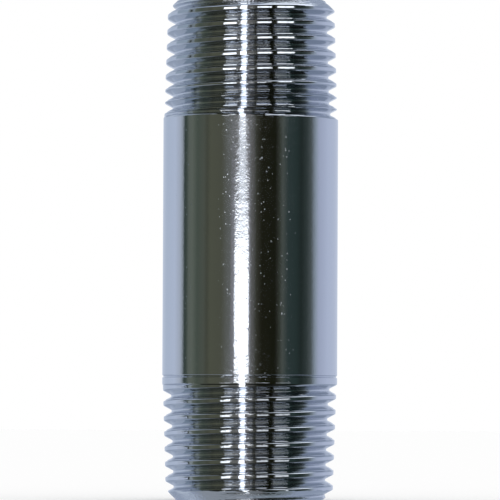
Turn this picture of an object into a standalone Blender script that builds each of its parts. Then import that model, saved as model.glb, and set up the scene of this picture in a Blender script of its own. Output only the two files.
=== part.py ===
"""Pipe nipple: a plated tube with a plain barrel between two taper pipe threads.

Metres, with +Z up along the axis. The origin is the centre of the lower end face.
The tube is turned as one closed section, and a helical cutter then takes each thread's
groove out of it, as a threading tool does.
"""

import math
from dataclasses import dataclass

import bmesh
import bpy
from mathutils import Matrix

# Driving dimensions
OVERALL_LENGTH = 0.060
BARREL_DIAMETER = 0.021
WALL = 0.003
BORE_CHAMFER = 0.0003
SHOULDER_CHAMFER = 0.0001

# The lower end of the barrel is turned slightly smaller over a short band.
BAND_LENGTH = 0.0011
BAND_DROP = 0.00012

# Threads: right hand, 14 to the inch, 55 degree flanks, tapering 1 in 16 on the diameter.
LOWER_THREAD_LENGTH = 0.0138
UPPER_THREAD_LENGTH = 0.0140
THREAD_PITCH = 0.0254 / 14
THREAD_ANGLE = math.radians(55)
THREAD_TAPER = 1 / 16
THREAD_DEPTH = 0.53 * THREAD_PITCH
ROOT_WIDTH = 0.14 * THREAD_PITCH
CREST_DROP = 0.00008

# Distance from the end face to the groove's middle where it first crosses the +X side.
LOWER_THREAD_START = 0.00072
UPPER_THREAD_START = 0.00007

# The feed slows before the upper shoulder, so the last turns lie closer together.
SLOW_LENGTH = 0.0048
SLOW_TURNS = 1.5
SLOW_PITCH = 0.76 * THREAD_PITCH

# At the end of each groove the feed dies away and the tool draws out over part of a turn.
PULL_OUT_TURNS = 0.75
SHOULDER_GAP = 0.0002

# The 45 degree end chamfers finish this far under the thread roots.
LOWER_FACE_DROP = 0.0003
UPPER_FACE_DROP = 0.0001

# The cutters stand this far proud of the barrel, and start this far outside the end faces.
CUTTER_RISE = 0.00002
CUTTER_LEAD_IN = 0.0004

SEGMENTS = 48
SHARP_ANGLE = math.radians(25)
CHROME = (0.72, 0.74, 0.78, 1.0)
CHROME_ROUGHNESS = 0.08

BARREL_RADIUS = BARREL_DIAMETER / 2
BORE_RADIUS = BARREL_RADIUS - WALL
GROOVE_RISE = CREST_DROP + CUTTER_RISE
GROOVE_HALF_TOP = ROOT_WIDTH / 2 + (THREAD_DEPTH + GROOVE_RISE) * math.tan(THREAD_ANGLE / 2)


@dataclass
class ThreadedEnd:
    """One end of the tube, described from its own end face: along is the distance from it."""

    name: str
    length: float
    start: float
    face_drop: float
    slows: bool
    placed: Matrix

    def crest(self, along):
        """Radius over the crests: full at the shoulder, less towards the end face."""
        return BARREL_RADIUS - CREST_DROP - (self.length - along) * THREAD_TAPER / 2

    def profile(self):
        """The turned section as (radius, along), from the bore round to the shoulder."""
        face = self.crest(0) - THREAD_DEPTH - self.face_drop
        chamfer = (self.crest(0) - face) / (1 - THREAD_TAPER / 2)
        return [
            (BORE_RADIUS, BORE_CHAMFER),
            (BORE_RADIUS + BORE_CHAMFER, 0),
            (face, 0),
            (face + chamfer, chamfer),
            (self.crest(self.length), self.length),
        ]

    def middle(self, turns):
        """Where the groove's middle is, so many turns on from the +X side."""
        steady = self.start + turns * THREAD_PITCH
        if not self.slows:
            return steady
        slow_from = (self.length - SLOW_LENGTH - self.start) / THREAD_PITCH
        slowed = max(0.0, turns - slow_from)
        easing = min(slowed, SLOW_TURNS)
        lost_turns = easing**2 / (2 * SLOW_TURNS) + slowed - easing
        return steady - lost_turns * (THREAD_PITCH - SLOW_PITCH)

    def path(self):
        """The tool's stations, one a segment: (turns, along, share drawn out)."""
        pull_out = round(PULL_OUT_TURNS * SEGMENTS)
        outside = self.start + GROOVE_HALF_TOP + CUTTER_LEAD_IN
        station = -math.ceil(outside / THREAD_PITCH * SEGMENTS)
        stations = []
        feed = 0
        while self.middle(station / SEGMENTS) + feed * pull_out / 2 < self.length - SHOULDER_GAP:
            stations.append((station / SEGMENTS, self.middle(station / SEGMENTS), 0))
            feed = self.middle((station + 1) / SEGMENTS) - self.middle(station / SEGMENTS)
            station += 1
        turns, along, _ = stations[-1]
        for past in range(1, pull_out + 1):
            travel = feed * (past - past**2 / (2 * pull_out))
            stations.append((turns + past / SEGMENTS, along + travel, past / pull_out))
        return stations


def groove_section(middle, crest, lift):
    """The tool's outline as (radius, along), lifted by as much as it is drawn out."""
    top = crest + GROOVE_RISE + lift
    root = crest - THREAD_DEPTH + lift
    return [
        (top, middle - GROOVE_HALF_TOP),
        (root, middle - ROOT_WIDTH / 2),
        (root, middle + ROOT_WIDTH / 2),
        (top, middle + GROOVE_HALF_TOP),
    ]


def groove_cutter(end):
    """The helical cutter that makes one end's thread."""
    shape = bmesh.new()
    drawn_clear = THREAD_DEPTH + GROOVE_RISE + CUTTER_RISE
    rings = []
    for turns, along, drawn in end.path():
        angle = 2 * math.pi * turns
        section = groove_section(along, end.crest(along), drawn**2 * drawn_clear)
        rings.append([
            shape.verts.new((radius * math.cos(angle), radius * math.sin(angle), height))
            for radius, height in section
        ])
    for one, two in zip(rings, rings[1:]):
        for i in range(len(one)):
            j = (i + 1) % len(one)
            shape.faces.new((one[i], one[j], two[j], two[i]))
    shape.faces.new(rings[0])
    shape.faces.new(rings[-1])
    shape.transform(end.placed)
    bmesh.ops.recalc_face_normals(shape, faces=shape.faces)
    mesh = bpy.data.meshes.new(end.name)
    shape.to_mesh(mesh)
    shape.free()
    cutter = bpy.data.objects.new(end.name, mesh)
    cutter.hide_render = True
    cutter.display_type = "WIRE"
    bpy.context.collection.objects.link(cutter)
    return cutter


def blank_profile(lower, upper):
    """The tube's closed section as (radius, height), down the outside and back up the bore."""
    band_radius = BARREL_RADIUS - BAND_DROP
    band_top = lower.length + BAND_LENGTH
    shoulder = OVERALL_LENGTH - upper.length
    top = [(radius, OVERALL_LENGTH - along) for radius, along in upper.profile()]
    barrel = [
        (BARREL_RADIUS - SHOULDER_CHAMFER, shoulder),
        (BARREL_RADIUS, shoulder - SHOULDER_CHAMFER),
        (BARREL_RADIUS, band_top + BAND_DROP),
        (band_radius, band_top),
        (band_radius, lower.length),
    ]
    return top + barrel + lower.profile()[::-1]


def turned(name, profile):
    """A closed section spun once about the Z axis."""
    mesh = bpy.data.meshes.new(name)
    points = [(radius, 0, height) for radius, height in profile]
    loop = [(i, (i + 1) % len(points)) for i in range(len(points))]
    mesh.from_pydata(points, loop, [])
    made = bpy.data.objects.new(name, mesh)
    bpy.context.collection.objects.link(made)
    spin = made.modifiers.new("Turned", "SCREW")
    spin.axis = "Z"
    spin.steps = SEGMENTS
    spin.render_steps = SEGMENTS
    spin.use_merge_vertices = True
    spin.merge_threshold = 0.00001
    return made


def cut(target, cutter):
    """Takes the cutter out of the target."""
    boolean = target.modifiers.new(cutter.name, "BOOLEAN")
    boolean.operation = "DIFFERENCE"
    boolean.solver = "EXACT"
    boolean.object = cutter


def shade(target):
    """Applies the turning and the cuts, and shades the solid smooth between its sharp edges."""
    graph = bpy.context.evaluated_depsgraph_get()
    solid = bpy.data.meshes.new_from_object(target.evaluated_get(graph))
    target.modifiers.clear()
    target.data = solid
    solid.shade_smooth()
    solid.set_sharp_from_angle(angle=SHARP_ANGLE)


def chrome_plate():
    """The plating: a bright, slightly cool metal."""
    made = bpy.data.materials.new("chrome_plate")
    made.use_nodes = True
    shader = made.node_tree.nodes["Principled BSDF"]
    shader.inputs["Base Color"].default_value = CHROME
    shader.inputs["Roughness"].default_value = CHROME_ROUGHNESS
    shader.inputs["Metallic"].default_value = 1.0
    return made


def main():
    for old in list(bpy.data.objects):
        bpy.data.objects.remove(old)
    upright = Matrix.Identity(4)
    turned_over = Matrix.Translation((0, 0, OVERALL_LENGTH)) @ Matrix.Rotation(math.pi, 4, "X")
    lower = ThreadedEnd(
        "lower_groove", LOWER_THREAD_LENGTH, LOWER_THREAD_START, LOWER_FACE_DROP, False, upright
    )
    upper = ThreadedEnd(
        "upper_groove", UPPER_THREAD_LENGTH, UPPER_THREAD_START, UPPER_FACE_DROP, True, turned_over
    )
    nipple = turned("nipple", blank_profile(lower, upper))
    nipple.data.materials.append(chrome_plate())
    for end in (lower, upper):
        cut(nipple, groove_cutter(end))
    shade(nipple)


main()
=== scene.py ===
"""The finished look of a chrome-plated pipe nipple, standing upright on a pale studio floor.

All lengths are in metres. The fine threaded surface stands for the CAD solid and fills its box.
Along is a distance from an end face, and turns count along a groove from the +X side.
"""

import math

import bpy
import numpy as np
from mathutils import Matrix, Vector


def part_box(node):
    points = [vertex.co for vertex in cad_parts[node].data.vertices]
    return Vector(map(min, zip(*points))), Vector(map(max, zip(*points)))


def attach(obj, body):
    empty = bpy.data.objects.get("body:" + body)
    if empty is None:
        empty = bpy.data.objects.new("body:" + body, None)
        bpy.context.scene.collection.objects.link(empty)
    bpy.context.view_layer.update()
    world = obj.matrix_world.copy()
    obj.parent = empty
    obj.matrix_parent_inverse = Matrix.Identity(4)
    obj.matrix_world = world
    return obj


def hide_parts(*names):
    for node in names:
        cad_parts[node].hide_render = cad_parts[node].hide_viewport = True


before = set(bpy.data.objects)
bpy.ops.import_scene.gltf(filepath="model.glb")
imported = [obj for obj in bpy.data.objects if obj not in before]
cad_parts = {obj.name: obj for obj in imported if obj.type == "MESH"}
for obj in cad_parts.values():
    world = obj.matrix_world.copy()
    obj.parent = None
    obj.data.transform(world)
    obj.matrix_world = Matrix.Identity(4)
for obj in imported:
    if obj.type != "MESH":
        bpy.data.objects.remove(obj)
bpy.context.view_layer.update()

# Sizes of the tube, from the frame where it gives them
NODE_LOW, NODE_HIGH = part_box("nipple")
LENGTH = NODE_HIGH.z - NODE_LOW.z
BARREL_RADIUS = (NODE_HIGH.x - NODE_LOW.x) / 2
WALL = 0.003
BORE_RADIUS = BARREL_RADIUS - WALL
BORE_CHAMFER = 0.0003

# Threads: 14 to the inch, right hand, with a filleted 55 degree groove, tapering 1 in 16
PITCH = 0.0254 / 14
DEPTH = 0.53 * PITCH
HALF_ANGLE = math.radians(27.5)
TAPER = 1 / 16
ROOT_FLAT = 0.00010
ROOT_ROUND = 0.00012
CREST_DROP = 0.00008
CREST_ROUND = 0.00014

# The fine ledge on one flank beside each crest: its distance from the root's flat, and its width
LEDGE_OFF = 0.00041
LEDGE_WIDTH = 0.00006

# Each thread's length, and how far from the end face its groove first crosses the +X side
LOWER_LENGTH = 0.0138
UPPER_LENGTH = 0.0140
LOWER_START = 0.00072
UPPER_START = 0.00007

# The feed slows before the upper shoulder, so the last turns lie closer together
SLOW_LENGTH = 0.0048
SLOW_TURNS = 1.5
SLOW_PITCH = 0.76 * PITCH

# At the end of each groove the feed dies away and the tool draws out over part of a turn
PULL_OUT_TURNS = 0.75
SHOULDER_GAP = 0.0002

# The turn at which that starts is looked for in steps of this size
STOP_STEP = 0.01

# Past each shoulder the surface rises from the crests to the barrel's radius over this length
SHOULDER_ROUND = 0.00020

# The 45 degree end chamfers finish this far under the thread roots
LOWER_FACE_DROP = 0.0003
UPPER_FACE_DROP = 0.0001

# The band at the foot of the barrel has a shallow groove along its top edge
BAND_TOP = 0.0149
BAND_DROP = 0.00012
BAND_CHAMFER = 0.00013

# How finely the surface is divided: columns round it, the rows' distances from a groove's middle
# in pitches, with the crest's middle half a pitch on, and the steps beside the band's top edge
# and up the plain barrel
COLUMNS = 168
HALF_ROWS = [
    0, 0.015, 0.029, 0.055, 0.085, 0.16, 0.248, 0.254, 0.285, 0.291, 0.32, 0.345, 0.37, 0.40, 0.44,
]
CREST_ROW = 0.5
EDGE_STEP = 0.0001
PLAIN_STEP = 0.0015
SHARP_ANGLE = math.radians(30)

# The threads' rows end this far short of the band's top edge, and past the upper shoulder
BAND_MARGIN = 0.0002
SHOULDER_MARGIN = 0.0006
LOWER_REACH = BAND_TOP - BAND_MARGIN
UPPER_REACH = UPPER_LENGTH + SHOULDER_MARGIN


class ThreadedEnd:
    """One end's turned form and groove, measured from its own end face."""

    def __init__(self, length, start, face_drop, slows, ledge_side):
        self.length = length
        self.start = start
        self.ledge_side = ledge_side
        self.slow_from = (length - SLOW_LENGTH - start) / PITCH if slows else math.inf
        self.face = self.crest(0) - DEPTH - face_drop
        self.stop_turns, self.stop_feed = self.find_stop()

    def crest(self, along):
        """Radius over the crests: full at the shoulder, less towards the end face."""
        return BARREL_RADIUS - CREST_DROP - (self.length - along) * TAPER / 2

    def steady(self, turns):
        """Where the groove would be if the feed never stopped: it also guides the mesh's rows."""
        slowed = np.maximum(0, turns - self.slow_from)
        easing = np.minimum(slowed, SLOW_TURNS)
        lost = easing**2 / (2 * SLOW_TURNS) + slowed - easing
        return self.start + turns * PITCH - lost * (PITCH - SLOW_PITCH)

    def find_stop(self):
        """The turn at which the feed starts to die away, and the feed there for each turn."""
        turns = 0.0
        while True:
            feed = (self.steady(turns + STOP_STEP) - self.steady(turns)) / STOP_STEP
            if self.steady(turns) + feed * PULL_OUT_TURNS / 2 >= self.length - SHOULDER_GAP:
                return turns, feed
            turns += STOP_STEP

    def middle(self, turns):
        """The groove's middle, and the share that the tool is drawn out there."""
        past = np.clip(turns - self.stop_turns, 0, PULL_OUT_TURNS)
        travel = self.stop_feed * (past - past**2 / (2 * PULL_OUT_TURNS))
        along = self.steady(np.minimum(turns, self.stop_turns)) + travel
        return along, past / PULL_OUT_TURNS

    def turned_radius(self, along):
        """Radius before the groove is cut: the chamfer, the crests and the rise to the barrel."""
        surface = np.minimum(self.face + along, self.crest(along))
        past_shoulder = np.clip((along - self.length) / SHOULDER_ROUND, 0, 1)
        step = CREST_DROP * (1 - (1 - past_shoulder) ** 2)
        return np.where(along > self.length, self.crest(self.length) + step, surface)

    def groove_radius(self, along, turns):
        """Radius in one turn of the groove, whose flanks run on outwards past the crests."""
        middle, drawn = self.middle(turns)
        off = np.maximum(np.abs(along - middle) - ROOT_FLAT / 2, 0)
        on_side = np.sign(along - middle) == self.ledge_side
        ledge = np.where(on_side, np.clip(off - LEDGE_OFF, 0, LEDGE_WIDTH), 0)
        off = off - ledge
        tangent = ROOT_ROUND * math.cos(HALF_ANGLE)
        arc = ROOT_ROUND - np.sqrt(np.maximum(ROOT_ROUND**2 - off**2, 0))
        flank = off / math.tan(HALF_ANGLE) - ROOT_ROUND * (1 / math.sin(HALF_ANGLE) - 1)
        flank = flank + ledge * self.ledge_side * TAPER / 2
        lift = drawn**2 * (DEPTH + CREST_DROP)
        return self.crest(middle) - DEPTH + lift + np.where(off < tangent, arc, flank)

    def radius(self, along, share):
        """Radius of the threaded surface: along is an array, share is the angle in turns."""
        surface = self.turned_radius(along)
        first = math.floor(-1 - self.start / PITCH)
        last = math.ceil(self.stop_turns + PULL_OUT_TURNS)
        for turn in range(first, last + 1):
            turns = turn + share
            if turns <= self.stop_turns + PULL_OUT_TURNS:
                surface = smooth_least(surface, self.groove_radius(along, turns), CREST_ROUND)
        return surface


def smooth_least(a, b, width):
    """The lesser of two heights, with the corner between them rounded over about that width."""
    share = np.clip(0.5 + 0.5 * (b - a) / width, 0, 1)
    return b + (a - b) * share - width * share * (1 - share)


class Surface:
    """The points and faces of one closed mesh. A ring is a list of point numbers, one a column."""

    def __init__(self):
        self.points = []
        self.faces = []

    def circle(self, radius, height):
        """A plain ring of new points."""
        first = len(self.points)
        for j in range(COLUMNS):
            angle = 2 * math.pi * j / COLUMNS
            self.points.append((radius * math.cos(angle), radius * math.sin(angle), height))
        return [first + j for j in range(COLUMNS)]

    def join(self, one, two):
        """Faces between two rings."""
        for j in range(COLUMNS):
            k = (j + 1) % COLUMNS
            self.faces.append((one[j], one[k], two[k], two[j]))

    def carry_on(self, ring, sizes):
        """Goes on from a ring through circles of these (radius, height), and returns the last."""
        for radius, height in sizes:
            following = self.circle(radius, height)
            self.join(ring, following)
            ring = following
        return ring

    def thread_column(self, end, share, turns, reach, flip):
        """A column of points up a thread at one angle, where rows that have run out are merged."""
        along = np.clip(end.steady(turns), 0, reach)
        radius = end.radius(along, share)
        angle = 2 * math.pi * share
        column = []
        for i in range(len(along)):
            if i and along[i] == along[i - 1]:
                column.append(column[-1])
                continue
            x, y = radius[i] * math.cos(angle), radius[i] * math.sin(angle)
            column.append(len(self.points))
            self.points.append((x, -y, LENGTH - along[i]) if flip else (x, y, along[i]))
        return column

    def thread_faces(self, table, per_turn):
        """Faces between the columns. At the seam the helix has moved on by a turn of rows."""
        last = len(table[0]) - 1
        for j in range(COLUMNS):
            one = table[j]
            two = table[(j + 1) % COLUMNS]
            shift = per_turn if j == COLUMNS - 1 else 0
            for i in range(-shift, last):
                one_low, one_high = max(i, 0), max(i + 1, 0)
                two_low, two_high = min(i + shift, last), min(i + 1 + shift, last)
                corners = [one[one_low], two[two_low], two[two_high], one[one_high]]
                corners = [v for n, v in enumerate(corners) if v != corners[n - 1]]
                if len(corners) > 2:
                    self.faces.append(tuple(corners))

    def thread(self, end, reach, flip):
        """Rows that follow the helix. Returns the ring at the end face and the one at the reach."""
        low_turn = -1 - math.ceil(end.start / PITCH)
        high_turn = low_turn
        while end.steady(high_turn) < reach:
            high_turn += 1
        pitch_rows = HALF_ROWS + [CREST_ROW] + [1 - place for place in HALF_ROWS[:0:-1]]
        per_turn = len(pitch_rows)
        rows = (high_turn - low_turn) * per_turn + 1
        places = np.array([i // per_turn + pitch_rows[i % per_turn] for i in range(rows)])
        table = []
        for j in range(COLUMNS):
            share = j / COLUMNS
            turns = low_turn + share + places
            table.append(self.thread_column(end, share, turns, reach, flip))
        self.thread_faces(table, per_turn)
        return [column[0] for column in table], [column[-1] for column in table]

    def as_object(self, name):
        """The finished mesh, shaded smooth between its sharp edges."""
        mesh = bpy.data.meshes.new(name)
        mesh.from_pydata(self.points, [], self.faces)
        mesh.validate()
        mesh.shade_smooth()
        mesh.set_sharp_from_angle(angle=SHARP_ANGLE)
        made = bpy.data.objects.new(name, mesh)
        bpy.context.scene.collection.objects.link(made)
        return made


def turned_back(ring):
    """A ring of the upper end, which is built turned over, in the order of the other rings."""
    return [ring[-j % COLUMNS] for j in range(COLUMNS)]


def build_nipple():
    """The whole nipple as one closed mesh: both threads, the barrel, the end faces and the bore."""
    surface = Surface()
    lower = ThreadedEnd(LOWER_LENGTH, LOWER_START, LOWER_FACE_DROP, False, -1)
    upper = ThreadedEnd(UPPER_LENGTH, UPPER_START, UPPER_FACE_DROP, True, 1)
    lower_face, lower_top = surface.thread(lower, LOWER_REACH, False)
    upper_face, upper_top = surface.thread(upper, UPPER_REACH, True)

    start = BAND_TOP + BAND_CHAMFER + EDGE_STEP
    finish = LENGTH - UPPER_REACH
    count = math.ceil((finish - start) / PLAIN_STEP)
    up_barrel = [
        (BARREL_RADIUS - BAND_DROP, BAND_TOP - EDGE_STEP),
        (BARREL_RADIUS - BAND_DROP, BAND_TOP),
        (BARREL_RADIUS, BAND_TOP + BAND_CHAMFER),
        (BARREL_RADIUS, start),
    ]
    up_barrel += [(BARREL_RADIUS, start + (finish - start) * i / count) for i in range(1, count)]
    surface.join(surface.carry_on(lower_top, up_barrel), turned_back(upper_top))

    down_bore = [
        (BORE_RADIUS + BORE_CHAMFER, LENGTH),
        (BORE_RADIUS, LENGTH - BORE_CHAMFER),
        (BORE_RADIUS, BORE_CHAMFER),
        (BORE_RADIUS + BORE_CHAMFER, 0),
    ]
    surface.join(surface.carry_on(turned_back(upper_face), down_bore), lower_face)
    return surface.as_object("nipple_plated")


# The plating's colour, and its finish on the smooth surface and on the end chamfers
PLATE_COLOR = (0.60, 0.63, 0.68, 1)
POLISH = 0.03
POLISH_SPREAD = 0.05
POLISH_PATCH = 0.004
CHAMFER_ROUGHNESS = 0.09

# How far from each end face the duller plating reaches, and how softly it and tool marks end
CHAMFER_REACH = 0.0010
CHAMFER_BLUR = 0.00015
THREAD_BLUR = 0.0003

# Bumps in the plating: how wide they are, how far apart, and how high
GRAIN_SIZE = 0.00024
GRAIN_HEIGHT = 0.0000030
PIMPLE_SPACING = 0.0016
PIMPLE_RADIUS = 0.00013
PIMPLE_HEIGHT = 0.0000070
PIT_SPACING = 0.00052
PIT_RADIUS = 0.000085
PIT_DEPTH = 0.0000038
WAVE_SIZE = 0.0011
WAVE_HEIGHT = 0.0000055
CHAMFER_GRAIN_SIZE = 0.00030
CHAMFER_GRAIN_HEIGHT = 0.000045

# Tool marks run round the threads: the stretch is their noise's travel for each radian of turn
TOOL_MARK_SIZE = 0.00010
TOOL_MARK_STRETCH = 0.0012
TOOL_MARK_DEPTH = 0.0000010

# Scratches are dots drawn out round the tube, and slanted
SCRATCH_SPACING = 0.0038
SCRATCH_RADIUS = 0.00013
SCRATCH_STRETCH = 0.18
SCRATCH_SLANT = 0.45
SCRATCH_DEPTH = 0.0000026

# The studio that the metal shows, by azimuth in degrees: 0 is towards the camera, + to its right
STUDIO_BANDS = [
    (-180, (0.63, 0.69, 0.82)),
    (-145, (0.57, 0.65, 0.79)),
    (-118, (0.64, 0.71, 0.86)),
    (-106, (0.54, 0.59, 0.68)),
    (-101, (0.38, 0.42, 0.46)),
    (-97, (0.05, 0.07, 0.06)),
    (-93, (0.07, 0.09, 0.075)),
    (-89, (0.145, 0.165, 0.135)),
    (-83, (0.155, 0.175, 0.14)),
    (-74, (0.09, 0.11, 0.085)),
    (-64, (0.105, 0.115, 0.088)),
    (-59, (0.082, 0.087, 0.062)),
    (-54, (0.112, 0.116, 0.080)),
    (-38, (0.104, 0.107, 0.076)),
    (-29, (0.155, 0.16, 0.145)),
    (-24, (0.17, 0.17, 0.155)),
    (-2, (0.20, 0.19, 0.18)),
    (3, (0.14, 0.14, 0.13)),
    (8, (0.05, 0.05, 0.035)),
    (15, (0.014, 0.014, 0.007)),
    (33, (0.011, 0.012, 0.006)),
    (39, (0.05, 0.055, 0.042)),
    (43, (0.090, 0.105, 0.090)),
    (51, (0.036, 0.055, 0.052)),
    (63, (0.028, 0.046, 0.042)),
    (71, (0.020, 0.030, 0.027)),
    (80, (0.045, 0.060, 0.056)),
    (88, (0.11, 0.13, 0.13)),
    (96, (0.36, 0.42, 0.49)),
    (103, (0.51, 0.56, 0.71)),
    (124, (0.62, 0.68, 0.85)),
    (180, (0.63, 0.69, 0.82)),
]

# In front, well above and below level, the bands are dimmer: from, to and blur, and by what share
DIM_SIDES = (-78, 82, 6)
DIM_STEEPNESS = (26, 77, 4)
DIM_SHARE = 0.85

# Straight up and down they turn grey, over this rise in steepness
ZENITH_GREY = (0.21, 0.22, 0.23)
ZENITH_RISE = (74, 81)

# Colours of the panels and lights that lie over the bands
LEFT_GREY = (0.38, 0.46, 0.55)
EDGE_GREY = (0.24, 0.28, 0.30)
LOW_GREY = (0.33, 0.37, 0.38)
SIDE_PALE = (0.60, 0.66, 0.82)
SIDE_BLUE = (0.38, 0.44, 0.56)
BACK_PALE = (0.62, 0.69, 0.80)
BACK_GREY = (0.36, 0.39, 0.43)
OVER_WHITE = (1.3, 1.38, 1.5)
DARK = (0.010, 0.011, 0.009)
GLOW = (0.30, 0.30, 0.32)
STRIP = (3.0, 3.05, 3.15)
STRIP_TOP = (0.75, 0.77, 0.80)
SPARK = (3.0, 3.05, 3.15)
LEFT_WINDOW = (2.8, 2.85, 2.95)
WINDOW = (1.9, 1.94, 2.0)
LOW_WINDOW = (0.95, 0.98, 1.02)

# Each panel: azimuth from, to and blur, elevation from, to and blur, and its colour. A later one
# lies over those before it.
STUDIO_PANELS = [
    # Beside and behind the object, above and below level
    (-200, -96, 2, -60, -8, 2, SIDE_BLUE),
    (-200, -124, 2, 12, 60, 2, SIDE_BLUE),
    (100, 200, 2, -60, -8, 2, SIDE_BLUE),
    (100, 200, 2, 12, 60, 2, SIDE_BLUE),
    (-168, -80, 8, -90, -50, 6, BACK_GREY),
    (-147, -130, 3, -46, -26, 4, BACK_PALE),
    (-148, -118, 3, 8, 42, 3, BACK_PALE),
    (-168, -95, 8, 58, 90, 6, BACK_PALE),
    (85, 174, 3, 41, 72, 3, OVER_WHITE),
    (95, 165, 5, -90, -58, 5, EDGE_GREY),
    (55, 168, 8, 60, 90, 6, OVER_WHITE),
    # Along the object's left and right edges
    (-124, -85, 1, 5.4, 40, 1, LEFT_GREY),
    (-97, -85, 2, 5.4, 40, 1, EDGE_GREY),
    (-92.4, -89.4, 0.4, 6.0, 9.4, 0.4, DARK),
    (-110, -92.6, 0.4, -5.8, -2.2, 0.4, SIDE_PALE),
    (-90.4, -84, 1, -30, -1.5, 1, LOW_GREY),
    (-92.8, -90.4, 0.3, -5.6, -2.6, 0.4, DARK),
    (64, 97, 2, 10, 38, 2, DARK),
    # The bright strip up the middle, its glow, and four small sparks that the pits catch
    (-25, 0, 2.0, 0.4, 3.0, 0.3, GLOW),
    (-20.5, -2.0, 1.0, 0.45, 1.7, 0.1, STRIP),
    (-19.5, -2.6, 1.8, 1.6, 2.2, 0.5, STRIP),
    (-15.5, -5.0, 2.5, 2.4, 3.7, 0.4, STRIP_TOP),
    (-33, -24, 2, 5.4, 6.1, 0.2, SPARK),
    (-2, 4, 2, 5.4, 6.1, 0.2, SPARK),
    (-33, -24, 2, -2.4, -1.5, 0.2, SPARK),
    (-2, 4, 2, -2.4, -1.6, 0.2, SPARK),
    (-14.2, -6.6, 0.6, -89, 0.5, 0.1, STRIP),
    (-14.2, -6.6, 0.6, 4.0, 89, 0.3, STRIP),
    # Windows that the flanks of the threads show
    (-38, -20, 0.5, 6.2, 9.5, 0.4, LEFT_WINDOW),
    (8.5, 28, 0.5, 6.4, 9.3, 0.4, WINDOW),
    (36.5, 61, 0.5, 6.4, 9.3, 0.4, WINDOW),
    (-39, -26, 0.5, -5.3, -2.6, 0.4, WINDOW),
    (10, 25, 0.5, -5.3, -2.6, 0.4, LOW_WINDOW),
    (35, 55, 0.5, -5.3, -2.6, 0.4, LOW_WINDOW),
]


class Shading:
    """Short ways to add shader nodes to one node tree and link them up."""

    def __init__(self, tree):
        self.nodes = tree.nodes
        self.links = tree.links

    def put(self, socket, value):
        """Links a socket to another, or sets its value."""
        if isinstance(value, bpy.types.NodeSocket):
            self.links.new(value, socket)
        else:
            socket.default_value = value

    def math(self, operation, one, two=0.0):
        node = self.nodes.new("ShaderNodeMath")
        node.operation = operation
        self.put(node.inputs[0], one)
        self.put(node.inputs[1], two)
        return node.outputs[0]

    def plus(self, one, two):
        return self.math("ADD", one, two)

    def less(self, one, two):
        return self.math("SUBTRACT", one, two)

    def times(self, one, two):
        return self.math("MULTIPLY", one, two)

    def split(self, vector):
        """The three parts of a vector."""
        node = self.nodes.new("ShaderNodeSeparateXYZ")
        self.put(node.inputs[0], vector)
        return node.outputs

    def combine(self, *parts):
        """A vector made of up to three parts."""
        node = self.nodes.new("ShaderNodeCombineXYZ")
        for socket, part in zip(node.inputs, parts):
            self.put(socket, part)
        return node.outputs[0]

    def rise(self, value, low, high):
        """0 below low and 1 above high, or the other way round where low is the greater."""
        node = self.nodes.new("ShaderNodeMapRange")
        node.interpolation_type = "SMOOTHSTEP"
        self.put(node.inputs["Value"], value)
        node.inputs["From Min"].default_value = min(low, high)
        node.inputs["From Max"].default_value = max(low, high)
        node.inputs["To Min"].default_value = 0 if low < high else 1
        node.inputs["To Max"].default_value = 1 if low < high else 0
        return node.outputs[0]

    def between(self, value, low, high, blur):
        """1 between low and high, with soft edges."""
        up = self.rise(value, low - blur, low + blur)
        down = self.rise(value, high + blur, high - blur)
        return self.times(up, down)

    def noise(self, position, size, detail):
        """Smooth noise from 0 to 1 with bumps of about this size."""
        node = self.nodes.new("ShaderNodeTexNoise")
        self.put(node.inputs["Vector"], position)
        node.inputs["Scale"].default_value = 1 / size
        node.inputs["Detail"].default_value = detail
        return node.outputs["Fac"]

    def dots(self, position, spacing, radius):
        """Small round dots, 1 at their middles, scattered at about this spacing."""
        node = self.nodes.new("ShaderNodeTexVoronoi")
        self.put(node.inputs["Vector"], position)
        node.inputs["Scale"].default_value = 1 / spacing
        return self.rise(node.outputs["Distance"], radius / spacing, 0)

    def mix(self, factor, one, two):
        """A colour, one where the factor is 0 and two where it is 1."""
        node = self.nodes.new("ShaderNodeMix")
        node.data_type = "RGBA"
        self.put(node.inputs[0], factor)
        self.put(node.inputs[6], one)
        self.put(node.inputs[7], two)
        return node.outputs[2]


def tool_marks(shading, radius, turn, height):
    """Fine marks that the threading tool leaves, drawn out round the tube."""
    place = shading.combine(radius, height, shading.times(turn, TOOL_MARK_STRETCH))
    return shading.times(shading.noise(place, TOOL_MARK_SIZE, 2), TOOL_MARK_DEPTH)


def scratches(shading, turn, height):
    """Hairline scratches, slanted round the tube."""
    round_way = shading.times(turn, BARREL_RADIUS)
    slope = shading.times(round_way, SCRATCH_SLANT)
    place = shading.combine(shading.times(round_way, SCRATCH_STRETCH), shading.less(height, slope))
    return shading.times(shading.dots(place, SCRATCH_SPACING, SCRATCH_RADIUS), SCRATCH_DEPTH)


def plating_height(shading, position, on_chamfer, marks, lines):
    """The height of all the bumps in the plating."""
    grain = shading.times(shading.noise(position, GRAIN_SIZE, 2), GRAIN_HEIGHT)
    pimples = shading.dots(position, PIMPLE_SPACING, PIMPLE_RADIUS)
    pits = shading.dots(position, PIT_SPACING, PIT_RADIUS)
    coarse = shading.noise(position, CHAMFER_GRAIN_SIZE, 3)
    coarse = shading.times(shading.times(coarse, CHAMFER_GRAIN_HEIGHT), on_chamfer)
    waves = shading.times(shading.noise(position, WAVE_SIZE, 1), WAVE_HEIGHT)
    surface = shading.plus(grain, shading.times(pimples, PIMPLE_HEIGHT))
    surface = shading.less(surface, shading.times(pits, PIT_DEPTH))
    surface = shading.plus(shading.plus(surface, marks), coarse)
    return shading.plus(shading.less(surface, lines), waves)


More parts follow.
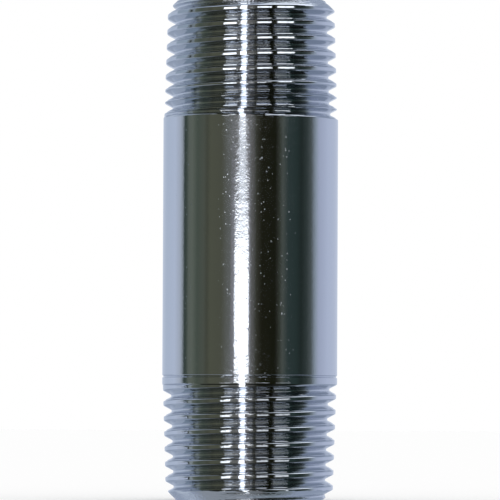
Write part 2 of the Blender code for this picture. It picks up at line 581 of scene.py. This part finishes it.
def plating_roughness(shading, position, on_chamfer):
    """A polish that varies a little in patches, and is duller on the end chamfers."""
    patches = shading.times(shading.noise(position, POLISH_PATCH, 3), POLISH_SPREAD)
    return shading.plus(shading.plus(patches, POLISH), shading.times(on_chamfer, CHAMFER_ROUGHNESS))


def chrome():
    """Bright plating with fine bumps, duller and coarser on the two end chamfers."""
    made = bpy.data.materials.new("chrome_plate")
    made.use_nodes = True
    tree = made.node_tree
    shader = tree.nodes["Principled BSDF"]
    shader.inputs["Base Color"].default_value = PLATE_COLOR
    shader.inputs["Metallic"].default_value = 1
    shading = Shading(tree)

    # Where a point is: its distance from the axis and from the nearer end, and its turn in radians
    position = tree.nodes.new("ShaderNodeTexCoord").outputs["Object"]
    across, deep, height = shading.split(position)
    squares = shading.plus(shading.math("POWER", across, 2.0), shading.math("POWER", deep, 2.0))
    radius = shading.math("SQRT", squares)
    turn = shading.math("ARCTAN2", across, deep)
    from_end = shading.math("MINIMUM", height, shading.less(LENGTH, height))
    on_thread = shading.rise(from_end, LOWER_LENGTH, LOWER_LENGTH - THREAD_BLUR)
    on_chamfer = shading.rise(from_end, CHAMFER_REACH + CHAMFER_BLUR, CHAMFER_REACH - CHAMFER_BLUR)

    marks = shading.times(tool_marks(shading, radius, turn, height), on_thread)
    lines = scratches(shading, turn, height)
    bump = tree.nodes.new("ShaderNodeBump")
    bump.inputs["Strength"].default_value = 1
    bump.inputs["Distance"].default_value = 1
    shading.put(bump.inputs["Height"], plating_height(shading, position, on_chamfer, marks, lines))
    shading.put(shader.inputs["Normal"], bump.outputs[0])
    shading.put(shader.inputs["Roughness"], plating_roughness(shading, position, on_chamfer))
    return made


def studio_bands(shading, azimuth):
    """The bands round the object, blended from each to the next."""
    ramp = shading.nodes.new("ShaderNodeValToRGB")
    stops = ramp.color_ramp.elements
    while len(stops) < len(STUDIO_BANDS):
        stops.new(0)
    for stop, (degrees, color) in zip(stops, STUDIO_BANDS):
        stop.position = (degrees + 180) / 360
        stop.color = (*color, 1)
    place = shading.math("DIVIDE", shading.plus(azimuth, 180.0), 360.0)
    shading.put(ramp.inputs[0], place)
    return ramp.outputs[0]


def studio_color(shading):
    """What the metal sees in each direction.

    The bands are dimmer in front, above and below level, and turn grey straight up and down.
    The panels and lights lie over them.
    """
    coords = shading.nodes.new("ShaderNodeTexCoord")
    right, away, up = shading.split(coords.outputs["Generated"])
    turn = shading.math("ARCTAN2", right, shading.times(away, -1.0))
    azimuth = shading.math("DEGREES", turn)
    elevation = shading.math("DEGREES", shading.math("ARCSINE", up))
    steepness = shading.math("ABSOLUTE", elevation)

    front = shading.between(azimuth, *DIM_SIDES)
    steep = shading.between(steepness, *DIM_STEEPNESS)
    dim = shading.times(shading.times(front, steep), DIM_SHARE)
    color = shading.mix(dim, studio_bands(shading, azimuth), (*DARK, 1))
    color = shading.mix(shading.rise(steepness, *ZENITH_RISE), color, (*ZENITH_GREY, 1))
    for left, right, side_blur, low, top, end_blur, tint in STUDIO_PANELS:
        across = shading.between(azimuth, left, right, side_blur)
        along = shading.between(elevation, low, top, end_blur)
        color = shading.mix(shading.times(across, along), color, (*tint, 1))
    return color


def build_world():
    """White behind the object for the camera, and the studio for the metal to show."""
    world = bpy.data.worlds.new("studio")
    bpy.context.scene.world = world
    world.use_nodes = True
    tree = world.node_tree
    tree.nodes.clear()
    shading = Shading(tree)
    studio = tree.nodes.new("ShaderNodeBackground")
    shading.put(studio.inputs["Color"], studio_color(shading))
    plain = tree.nodes.new("ShaderNodeBackground")
    plain.inputs["Color"].default_value = (1, 1, 1, 1)
    path = tree.nodes.new("ShaderNodeLightPath")
    mix = tree.nodes.new("ShaderNodeMixShader")
    output = tree.nodes.new("ShaderNodeOutputWorld")
    tree.links.new(path.outputs["Is Glossy Ray"], mix.inputs[0])
    tree.links.new(plain.outputs[0], mix.inputs[1])
    tree.links.new(studio.outputs[0], mix.inputs[2])
    tree.links.new(mix.outputs[0], output.inputs[0])


# The floor is a wide disc
FLOOR_RADIUS = 3
FLOOR_SEGMENTS = 96
FLOOR_WHITE = 0.985


def build_floor():
    """A white floor that keeps the object's soft shadow and doesn't show in the metal."""
    bpy.ops.mesh.primitive_circle_add(vertices=FLOOR_SEGMENTS, radius=FLOOR_RADIUS, fill_type="NGON")
    floor = bpy.context.object
    floor.name = "floor"
    floor.visible_glossy = False
    paint = bpy.data.materials.new("floor_paint")
    paint.use_nodes = True
    shader = paint.node_tree.nodes["Principled BSDF"]
    shader.inputs["Base Color"].default_value = (FLOOR_WHITE, FLOOR_WHITE, FLOOR_WHITE, 1)
    shader.inputs["Roughness"].default_value = 1
    shader.inputs["Specular IOR Level"].default_value = 0
    floor.data.materials.append(paint)


# Camera: low and almost level, far off with a long lens. The picture is square, and the frame's
# height is measured at the object.
CAMERA_DISTANCE = 0.57
CAMERA_HEIGHT = 0.0100
FRAME_HEIGHT = 0.0601
AIM_HEIGHT = 0.03009
AIM_SIDE = -0.00003
ROLL = math.radians(-0.25)
SENSOR_WIDTH = 36
CLIP_START = 0.01


def build_camera():
    """The camera, turned to its aim and rolled by a hair."""
    camera = bpy.data.objects.new("camera", bpy.data.cameras.new("camera"))
    bpy.context.scene.collection.objects.link(camera)
    camera.location = (AIM_SIDE, -CAMERA_DISTANCE, CAMERA_HEIGHT)
    aim = Vector((AIM_SIDE, 0, AIM_HEIGHT)) - camera.location
    turned = aim.to_track_quat("-Z", "Y").to_matrix() @ Matrix.Rotation(-ROLL, 3, "Z")
    camera.rotation_euler = turned.to_euler()
    camera.data.sensor_width = SENSOR_WIDTH
    camera.data.lens = SENSOR_WIDTH * aim.length / FRAME_HEIGHT
    camera.data.clip_start = CLIP_START
    bpy.context.scene.camera = camera


def main():
    bpy.context.scene.view_settings.view_transform = "Standard"
    nipple = build_nipple()
    nipple.data.materials.append(chrome())
    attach(nipple, "root")
    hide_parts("nipple")
    build_world()
    build_floor()
    build_camera()


main()
